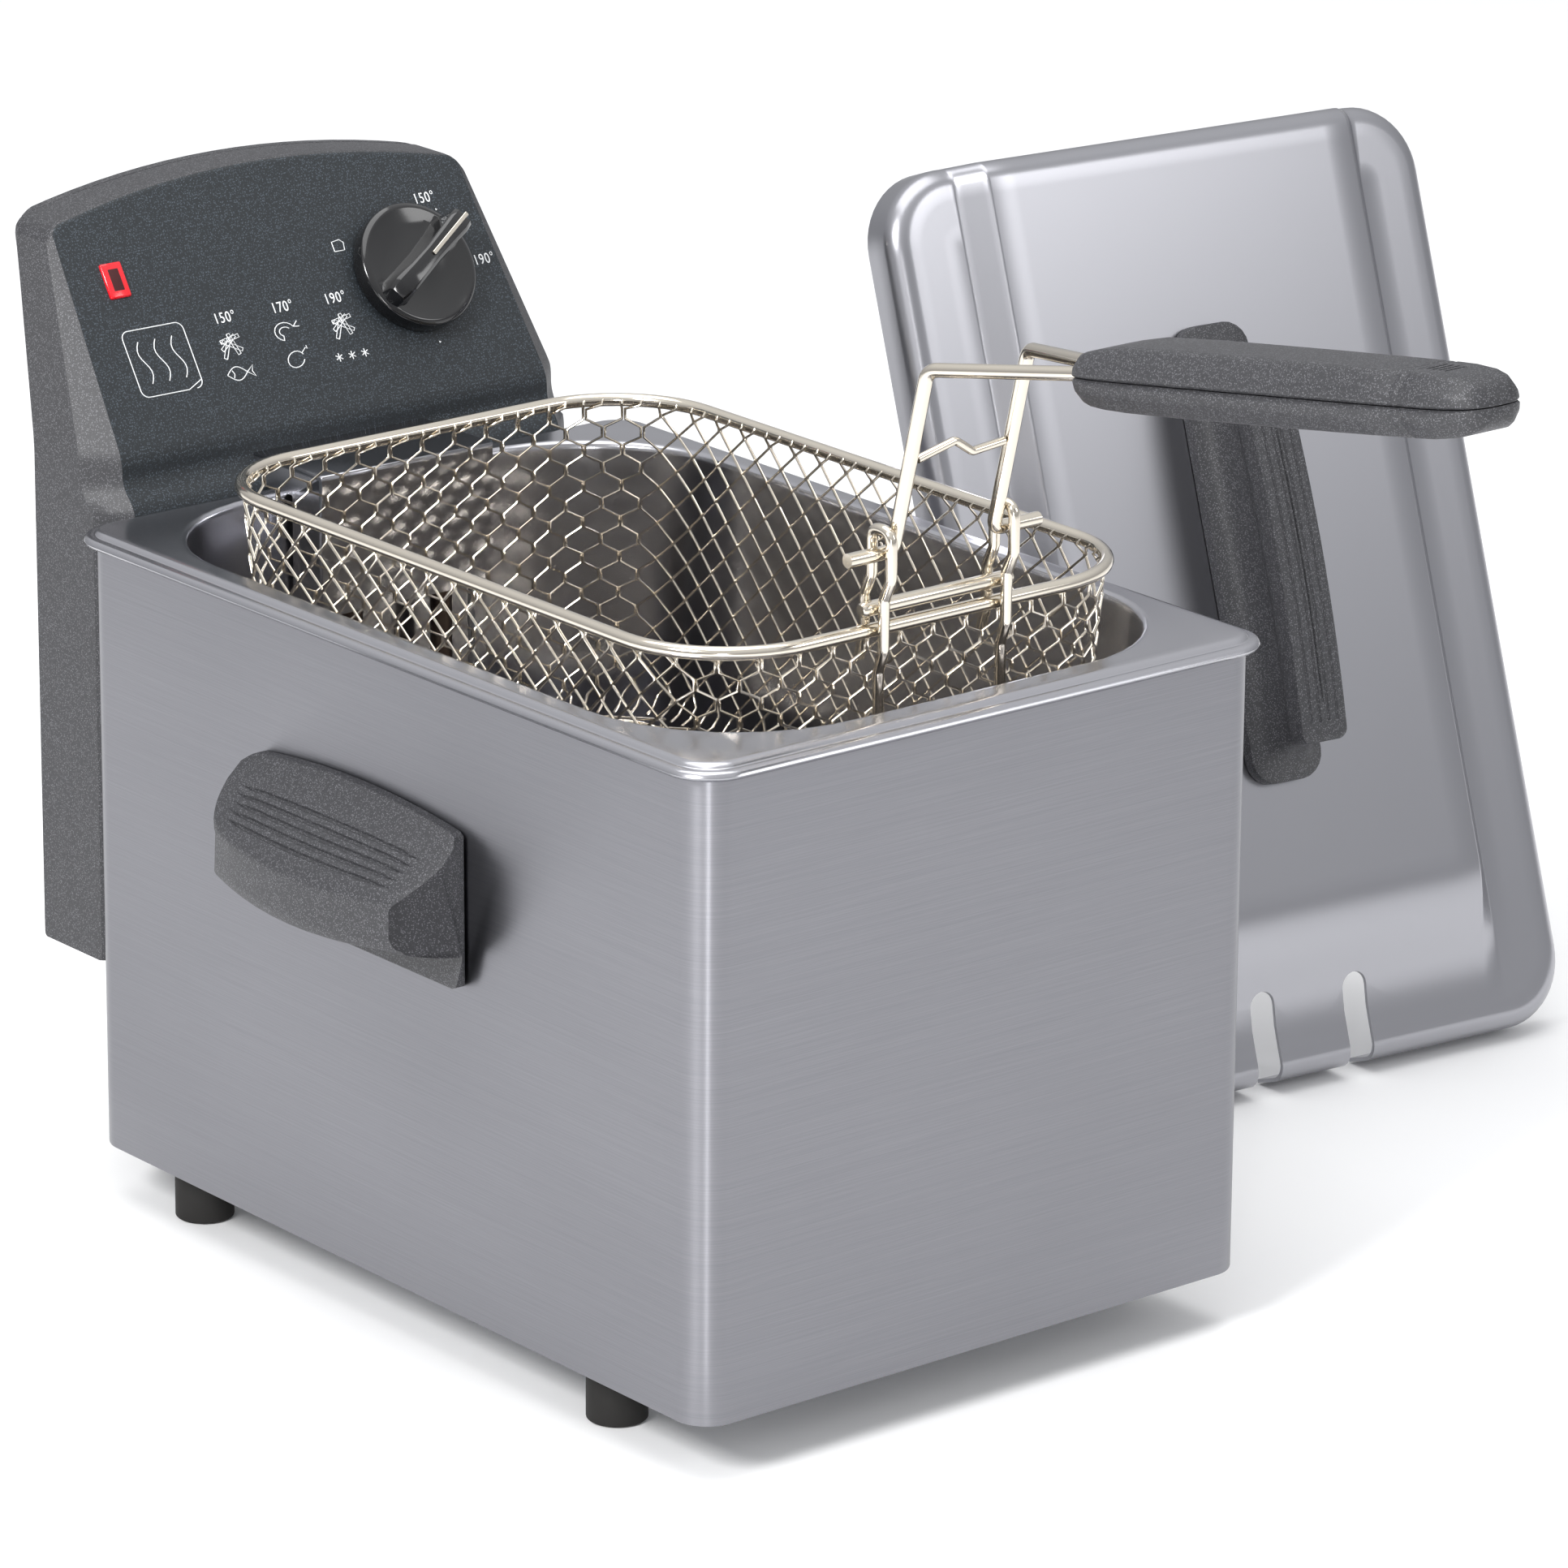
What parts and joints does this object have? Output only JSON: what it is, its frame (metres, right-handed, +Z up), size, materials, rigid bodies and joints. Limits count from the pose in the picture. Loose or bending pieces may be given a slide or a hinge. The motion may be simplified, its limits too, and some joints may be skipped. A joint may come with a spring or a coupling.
{
  "type": "deep fryer",
  "caption": "Counter-top deep fryer: steel casing with lift-out bowl, clip-on control head with heating loop, wire basket with folding handle, and a loose lid standing beside it.",
  "frame": {"origin": "middle of the base plate's underside, between the feet", "axes": "+Z up, +X to the right seen from the front, -Y towards the basket handle, +Y towards the control head"},
  "size_m": [0.473, 0.5407, 0.3285],
  "materials": {
    "brushed_steel": "brushed stainless sheet",
    "drawn_steel": "deep-drawn stainless, satin",
    "lid_steel": "pressed stainless, satin",
    "plated_steel": "zinc-plated sheet and screws",
    "chrome_wire": "bright plated wire, warm tint",
    "charcoal_plastic": "fine-grained moulding with pale flecks",
    "gloss_plastic": "polished black moulding",
    "red_plastic": "clear red lens and button",
    "cream_plastic": "heat-proof electrical moulding",
    "black_rubber": "matt rubber",
    "element_metal": "heat-darkened heating tube"
  },
  "bodies": {
    "base": {"outer_casing": "brushed_steel", "base_plate": "plated_steel", "foot_front_left": "black_rubber", "foot_front_right": "black_rubber", "foot_rear_left": "black_rubber", "foot_rear_right": "black_rubber", "foot_screw_front_left": "plated_steel", "foot_screw_front_right": "plated_steel", "foot_screw_rear_left": "plated_steel", "foot_screw_rear_right": "plated_steel", "side_grip_left": "charcoal_plastic", "side_grip_right": "charcoal_plastic", "grip_screw_left_front": "plated_steel", "grip_screw_left_rear": "plated_steel", "grip_screw_right_front": "plated_steel", "grip_screw_right_rear": "plated_steel", "hanger_rail_left": "plated_steel", "hanger_rail_right": "plated_steel"},
    "bowl": {"bowl": "drawn_steel"},
    "control_unit": {"head_housing": "charcoal_plastic", "head_back_cover": "charcoal_plastic", "head_screw_low_left": "plated_steel", "head_screw_low_right": "plated_steel", "head_screw_high_left": "plated_steel", "head_screw_high_right": "plated_steel", "thermostat_body": "cream_plastic", "thermostat_screw_1": "plated_steel", "thermostat_screw_2": "plated_steel", "lamp_lens": "red_plastic", "lamp_body": "cream_plastic", "thermal_cutout": "cream_plastic", "terminal_block": "cream_plastic", "interlock_switch": "gloss_plastic", "cord_gland": "black_rubber", "heating_element": "element_metal", "sensor_bulb": "plated_steel", "bulb_clip": "plated_steel", "element_bracket": "drawn_steel"},
    "thermostat_knob": {"knob": "gloss_plastic", "pointer_insert": "chrome_wire", "thermostat_shaft": "plated_steel"},
    "reset": {"reset_button": "red_plastic"},
    "basket": {"basket_mesh": "chrome_wire", "basket_rim": "chrome_wire", "basket_base_wire": "chrome_wire", "basket_bracket_left": "chrome_wire", "basket_bracket_right": "chrome_wire", "bracket_crossbar": "chrome_wire"},
    "basket_handle": {"handle_wire": "chrome_wire", "handle_spacer": "chrome_wire", "grip_upper": "charcoal_plastic", "grip_lower": "charcoal_plastic", "handle_screw_near": "plated_steel", "handle_screw_far": "plated_steel"},
    "lid": {"lid_shell": "lid_steel", "lid_handle": "charcoal_plastic", "lid_screw_low": "plated_steel", "lid_screw_high": "plated_steel"}
  },
  "joints": [
    {"name": "bowl_lift", "type": "slide", "parent": "base", "child": "bowl", "axis": [0, 0, 1], "range_m": [0, 0.17]},
    {"name": "control_unit_lift", "type": "slide", "parent": "bowl", "child": "control_unit", "axis": [0, 0, 1], "range_m": [0, 0.16]},
    {"name": "thermostat_turn", "type": "hinge", "parent": "control_unit", "child": "thermostat_knob", "pos_m": [0.042, 0.17234, 0.23034], "axis": [0, -0.8331, 0.5531], "range_deg": [-35, 238]},
    {"name": "reset_press", "type": "slide", "parent": "control_unit", "child": "reset", "axis": [0, -1, 0], "range_m": [0, 0.0025], "stiffness_N_per_m": 800},
    {"name": "basket_lift", "type": "slide", "parent": "control_unit", "child": "basket", "axis": [0, 0, 1], "range_m": [-0.046, 0.12]},
    {"name": "handle_fold", "type": "hinge", "parent": "basket", "child": "basket_handle", "pos_m": [0, -0.1205, 0.2235], "axis": [-1, 0, 0], "range_deg": [0, 165]},
    {"name": "lid_lift", "type": "slide", "parent": "base", "child": "lid", "axis": [0, 0, 1], "range_m": [0, 0.3]}
  ]
}
